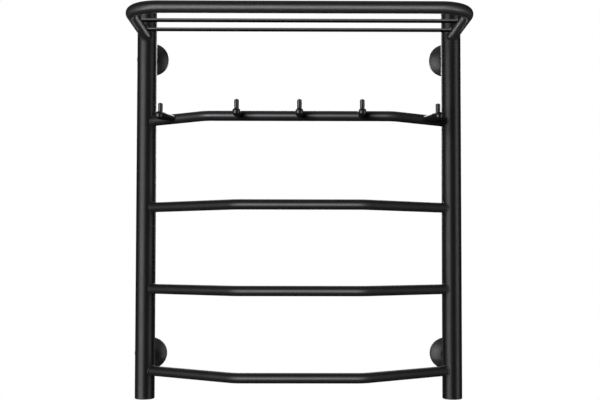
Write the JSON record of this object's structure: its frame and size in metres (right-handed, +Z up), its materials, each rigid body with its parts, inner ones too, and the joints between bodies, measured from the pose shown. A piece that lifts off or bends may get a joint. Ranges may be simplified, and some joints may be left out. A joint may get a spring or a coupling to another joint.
{
  "type": "towel warmer rack",
  "caption": "Wall-hung ladder towel warmer: two water-carrying posts, outward-bent tube bars, a tube-and-rod shelf on top, peg hooks and round wall covers.",
  "frame": {"origin": "centre of the four wall fixings, on the wall plane", "axes": "+Z up, +Y into the wall, +X to the right as seen from the room"},
  "size_m": [0.554, 0.259, 0.635],
  "materials": {
    "matt_black_tube_paint": "satin black powder coat on steel tube",
    "matt_black_hook_paint": "satin black powder coat on turned hooks",
    "matt_black_cover_paint": "satin black powder coat on spun covers",
    "zinc_plated_steel": "bright zinc plate",
    "black_oxide_steel": "black oxide",
    "nickel_plated_brass": "satin nickel plate",
    "red_fibre": "pressed fibre washer"
  },
  "bodies": {
    "rack": {"left_post": "matt_black_tube_paint", "right_post": "matt_black_tube_paint", "left_end_cap": "matt_black_tube_paint", "right_end_cap": "matt_black_tube_paint", "left_water_collar": "matt_black_tube_paint", "right_water_collar": "matt_black_tube_paint", "bar_1": "matt_black_tube_paint", "bar_2": "matt_black_tube_paint", "bar_3": "matt_black_tube_paint", "hook_bar": "matt_black_tube_paint", "shelf_frame": "matt_black_tube_paint", "shelf_rod_front": "matt_black_tube_paint", "shelf_rod_rear": "matt_black_tube_paint", "hook_1": "matt_black_hook_paint", "hook_2": "matt_black_hook_paint", "hook_3": "matt_black_hook_paint", "hook_4": "matt_black_hook_paint", "hook_5": "matt_black_hook_paint", "hook_peg_1": "matt_black_hook_paint", "hook_peg_2": "matt_black_hook_paint", "hook_peg_3": "matt_black_hook_paint", "hook_peg_4": "matt_black_hook_paint", "hook_peg_5": "matt_black_hook_paint", "hook_studs": "black_oxide_steel", "hook_grub_screws": "black_oxide_steel", "wall_base_lower_left": "zinc_plated_steel", "wall_base_lower_right": "zinc_plated_steel", "wall_base_upper_left": "zinc_plated_steel", "wall_base_upper_right": "zinc_plated_steel", "bracket_stem_lower_left": "matt_black_tube_paint", "bracket_stem_lower_right": "matt_black_tube_paint", "bracket_stem_upper_left": "matt_black_tube_paint", "bracket_stem_upper_right": "matt_black_tube_paint", "bracket_grub_screws": "black_oxide_steel", "bleed_boss": "matt_black_tube_paint", "bleed_washer": "red_fibre", "bleed_body": "nickel_plated_brass"},
    "wall_cover_lower_left": {"wall_cover_lower_left": "matt_black_cover_paint"},
    "wall_cover_lower_right": {"wall_cover_lower_right": "matt_black_cover_paint"},
    "wall_cover_upper_left": {"wall_cover_upper_left": "matt_black_cover_paint"},
    "wall_cover_upper_right": {"wall_cover_upper_right": "matt_black_cover_paint"},
    "bleed_screw": {"bleed_screw": "nickel_plated_brass"}
  },
  "joints": [
    {"name": "cover_slide_lower_left", "type": "slide", "parent": "rack", "child": "wall_cover_lower_left", "axis": [0, -1, 0], "range_m": [0, 0.03]},
    {"name": "cover_slide_lower_right", "type": "slide", "parent": "rack", "child": "wall_cover_lower_right", "axis": [0, -1, 0], "range_m": [0, 0.03]},
    {"name": "cover_slide_upper_left", "type": "slide", "parent": "rack", "child": "wall_cover_upper_left", "axis": [0, -1, 0], "range_m": [0, 0.03]},
    {"name": "cover_slide_upper_right", "type": "slide", "parent": "rack", "child": "wall_cover_upper_right", "axis": [0, -1, 0], "range_m": [0, 0.03]},
    {"name": "bleed_screw_turn", "type": "hinge", "parent": "rack", "child": "bleed_screw", "pos_m": [-0.25, -0.036, 0.29], "axis": [0, 1, 0], "range_deg": [0, 360]}
  ]
}
